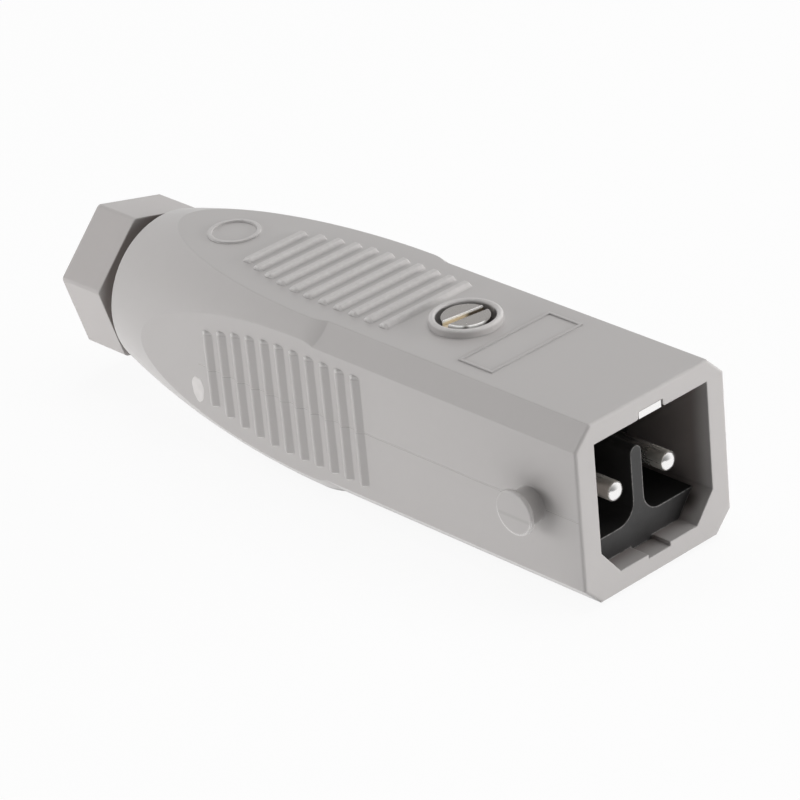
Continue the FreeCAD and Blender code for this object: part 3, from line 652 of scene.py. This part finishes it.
def seam_ring(x, side):
    """The seam's ridge in section, at its place on the housing's side."""
    spot, out = on_skin(x, 0.0, side)
    upward = Vector((0, 0, 1))
    profile = ridge(SEAM_HALF, SEAM_CROWN, SEAM_HEIGHT)
    return [spot + upward * across + out * height for across, height in profile]


def make_seams():
    """The mould's parting line along both sides, broken by the studs."""
    runs = ((SEAM_FRONT, STUD_PLACE + STUD_REACH), (STUD_PLACE - STUD_REACH, SEAM_REAR))
    for name, side in (("seam_left", -1), ("seam_right", 1)):
        bars = [loft([seam_ring(x, side) for x in stations(*run)]) for run in runs]
        new_piece(name, bars, seam_plastic, "connector")


def make_gate_mark():
    """The pale, slightly raised spot where the mould was filled."""
    rings = []
    for share, height in GATE_RINGS:
        ring = []
        for angle in full_turn(GATE_STEPS):
            wave = sum(size * math.sin(count * angle + start) for size, count, start in GATE_WAVES)
            reach = share * (1 + wave)
            spot, out = on_skin(GATE_PLACE[0] + GATE_HALF[0] * reach * math.cos(angle),
                                GATE_PLACE[1] + GATE_HALF[1] * reach * math.sin(angle), -1)
            ring.append(spot + out * GATE_HEIGHT * height)
        rings.append(ring)
    new_piece("gate_mark", [loft(rings)], gate_plastic, "connector")


def make_gland_thread():
    """The thread on the neck as low rings with no handed form, seen when the gland nut is unscrewed."""
    profile = ridge(THREAD_HALF, THREAD_CROWN, THREAD_HEIGHT)
    forward = Vector((1, 0, 0))
    ridges = []
    for number in range(THREAD_RIDGES):
        x = THREAD_FRONT - THREAD_PITCH * number
        rings = []
        for angle in full_turn(THREAD_STEPS):
            out = Vector((0, math.cos(angle), math.sin(angle)))
            foot = Vector((x, 0, 0)) + out * THREAD_RADIUS
            rings.append([foot + forward * along + out * height for along, height in profile])
        ridges.append(loft(rings, round_trip=True))
    new_piece("gland_thread", ridges, housing_plastic, "connector")


make_seams()
make_gate_mark()
make_gland_thread()


# Stage: floor and world

WHITE = (1, 1, 1, 1)

FLOOR_HALF = 3.0
FLOOR_PALE = (0.86, 0.86, 0.86, 1)
FLOOR_ROUGH = 0.9
FLOOR_EYE_SHARE = 0.92

WORLD_AMBIENT = 0.3
SHADED_SIDE = Vector((0.75, -0.66, 0.0))
SHADED_AMBIENT = 0.06
SHADED_MIRROR = 0.22
SHADE_START = -0.1


def white_to_eye(tree, eye_share):
    """A factor that is eye_share for rays from the camera, mirrors and glass, and 0 for the rest."""
    path = add_node(tree, "ShaderNodeLightPath")
    seen = maths(tree, "MAXIMUM", path.outputs["Is Camera Ray"], path.outputs["Is Glossy Ray"])
    seen = maths(tree, "MAXIMUM", seen, path.outputs["Is Transmission Ray"])
    return maths(tree, "MULTIPLY", seen, eye_share)


def make_floor():
    """A pale floor under the lowest point, with the object's shadow on it."""
    mesh = bpy.data.meshes.new("floor")
    height = cad_box[0].z
    sides = ((-1, -1), (1, -1), (1, 1), (-1, 1))
    mesh.from_pydata([(x * FLOOR_HALF, y * FLOOR_HALF, height) for x, y in sides], [], [(0, 1, 2, 3)])
    floor = bpy.data.objects.new("floor", mesh)
    bpy.context.scene.collection.objects.link(floor)
    material, tree, shader = new_material("floor_look")
    shader.inputs["Base Color"].default_value = FLOOR_PALE
    shader.inputs["Roughness"].default_value = FLOOR_ROUGH
    shader.inputs["Specular IOR Level"].default_value = 0.0
    glow = add_node(tree, "ShaderNodeEmission")
    mix_shaders(tree, white_to_eye(tree, FLOOR_EYE_SHARE), shader.outputs["BSDF"], glow.outputs["Emission"],
                "Material Output")
    mesh.materials.append(material)


def shaded(tree, light, shade):
    """A strength that falls from light to shade towards the side where the studio is dark."""
    towards = add_node(tree, "ShaderNodeTexCoord").outputs["Generated"]
    return ramp(tree, dot(tree, towards, SHADED_SIDE), SHADE_START, 1.0, light, shade)


def make_world():
    """White to the eye, and a soft light on the object that is weaker from one side."""
    world = bpy.data.worlds.new("studio")
    bpy.context.scene.world = world
    world.use_nodes = True
    tree = world.node_tree
    ambient = tree.nodes["Background"]
    ambient.inputs["Color"].default_value = WHITE
    tree.links.new(shaded(tree, WORLD_AMBIENT, SHADED_AMBIENT), ambient.inputs["Strength"])
    white = add_node(tree, "ShaderNodeBackground", Color=WHITE)
    path = add_node(tree, "ShaderNodeLightPath")
    direct = maths(tree, "MAXIMUM", path.outputs["Is Camera Ray"], shaded(tree, 1.0, SHADED_MIRROR))
    tree.links.new(direct, white.inputs["Strength"])
    mix_shaders(tree, white_to_eye(tree, 1.0), ambient.outputs["Background"], white.outputs["Background"],
                "World Output")


# Stage: lamps and camera

# Each lamp: azimuth and elevation in degrees from the object's middle, distance, width, height and power
LAMPS = {
    "lamp_left": (-35.0, 5.0, 0.7, 0.7, 0.3, 3.45),
    "lamp_right": (122.0, 8.0, 0.7, 0.5, 0.2, 4.1),
    "lamp_above": (180.0, 76.0, 0.8, 0.7, 0.7, 3.7),
}

# A lit panel that lies on the floor, beside and under the object's left side, and faces up
PANEL_MIDDLE = Vector((-0.141, -0.14))
PANEL_SIZE = (0.28, 0.28)
PANEL_POWER = 0.14
PANEL_LIFT = 1.0 * MM

# The camera, fitted to the photograph
CAMERA_AZIMUTH = math.radians(48.55)
CAMERA_ELEVATION = math.radians(27.73)
CAMERA_ROLL = math.radians(-5.5)
CAMERA_DISTANCE = 525.6 * MM
CAMERA_TARGET = Vector((-50.0, 0.0, 0.9)) * MM
CAMERA_SHIFT_RIGHT = 3.98 * MM
CAMERA_SHIFT_UP = -5.16 * MM
CAMERA_LENS = 184.27
CAMERA_SENSOR = 36.0
CAMERA_NEAR = 0.01
CAMERA_FAR = 20.0


def direction(azimuth, elevation):
    """The unit vector from the object towards an azimuth and elevation in radians."""
    level = math.cos(elevation)
    return Vector((math.sin(azimuth) * level, -math.cos(azimuth) * level, math.sin(elevation)))


def make_lamp(name, stand, back, width, height, power):
    """A soft area lamp with its back turned to a direction, which gloss doesn't show."""
    data = bpy.data.lights.new(name, "AREA")
    data.shape = "RECTANGLE"
    data.size = width
    data.size_y = height
    data.energy = power
    lamp = bpy.data.objects.new(name, data)
    lamp.location = stand
    lamp.rotation_mode = "QUATERNION"
    lamp.rotation_quaternion = back.to_track_quat("Z", "Y")
    lamp.visible_camera = False
    lamp.visible_glossy = False
    bpy.context.scene.collection.objects.link(lamp)


def make_lamps():
    """Lamps that look at the middle of the object, and the panel on the floor."""
    middle = (cad_box[0] + cad_box[1]) / 2
    for name, (azimuth, elevation, reach, width, height, power) in LAMPS.items():
        towards = direction(math.radians(azimuth), math.radians(elevation))
        make_lamp(name, middle + towards * reach, towards, width, height, power)
    panel_stand = Vector((*PANEL_MIDDLE, cad_box[0].z + PANEL_LIFT))
    make_lamp("panel", panel_stand, Vector((0, 0, -1)), *PANEL_SIZE, PANEL_POWER)


def make_camera():
    """The photograph's camera."""
    back = direction(CAMERA_AZIMUTH, CAMERA_ELEVATION)
    level_right = Vector((0, 0, 1)).cross(back).normalized()
    level_up = back.cross(level_right)
    c, s = math.cos(CAMERA_ROLL), math.sin(CAMERA_ROLL)
    right = c * level_right + s * level_up
    up = c * level_up - s * level_right
    data = bpy.data.cameras.new("camera")
    data.lens = CAMERA_LENS
    data.sensor_width = CAMERA_SENSOR
    data.clip_start = CAMERA_NEAR
    data.clip_end = CAMERA_FAR
    camera = bpy.data.objects.new("camera", data)
    stand = CAMERA_TARGET + right * CAMERA_SHIFT_RIGHT + up * CAMERA_SHIFT_UP + back * CAMERA_DISTANCE
    turn = Matrix((right, up, back)).transposed().to_4x4()
    camera.matrix_world = Matrix.Translation(stand) @ turn
    bpy.context.scene.collection.objects.link(camera)
    bpy.context.scene.camera = camera


make_floor()
make_world()
make_lamps()
make_camera()
bpy.context.scene.view_settings.view_transform = "Standard"
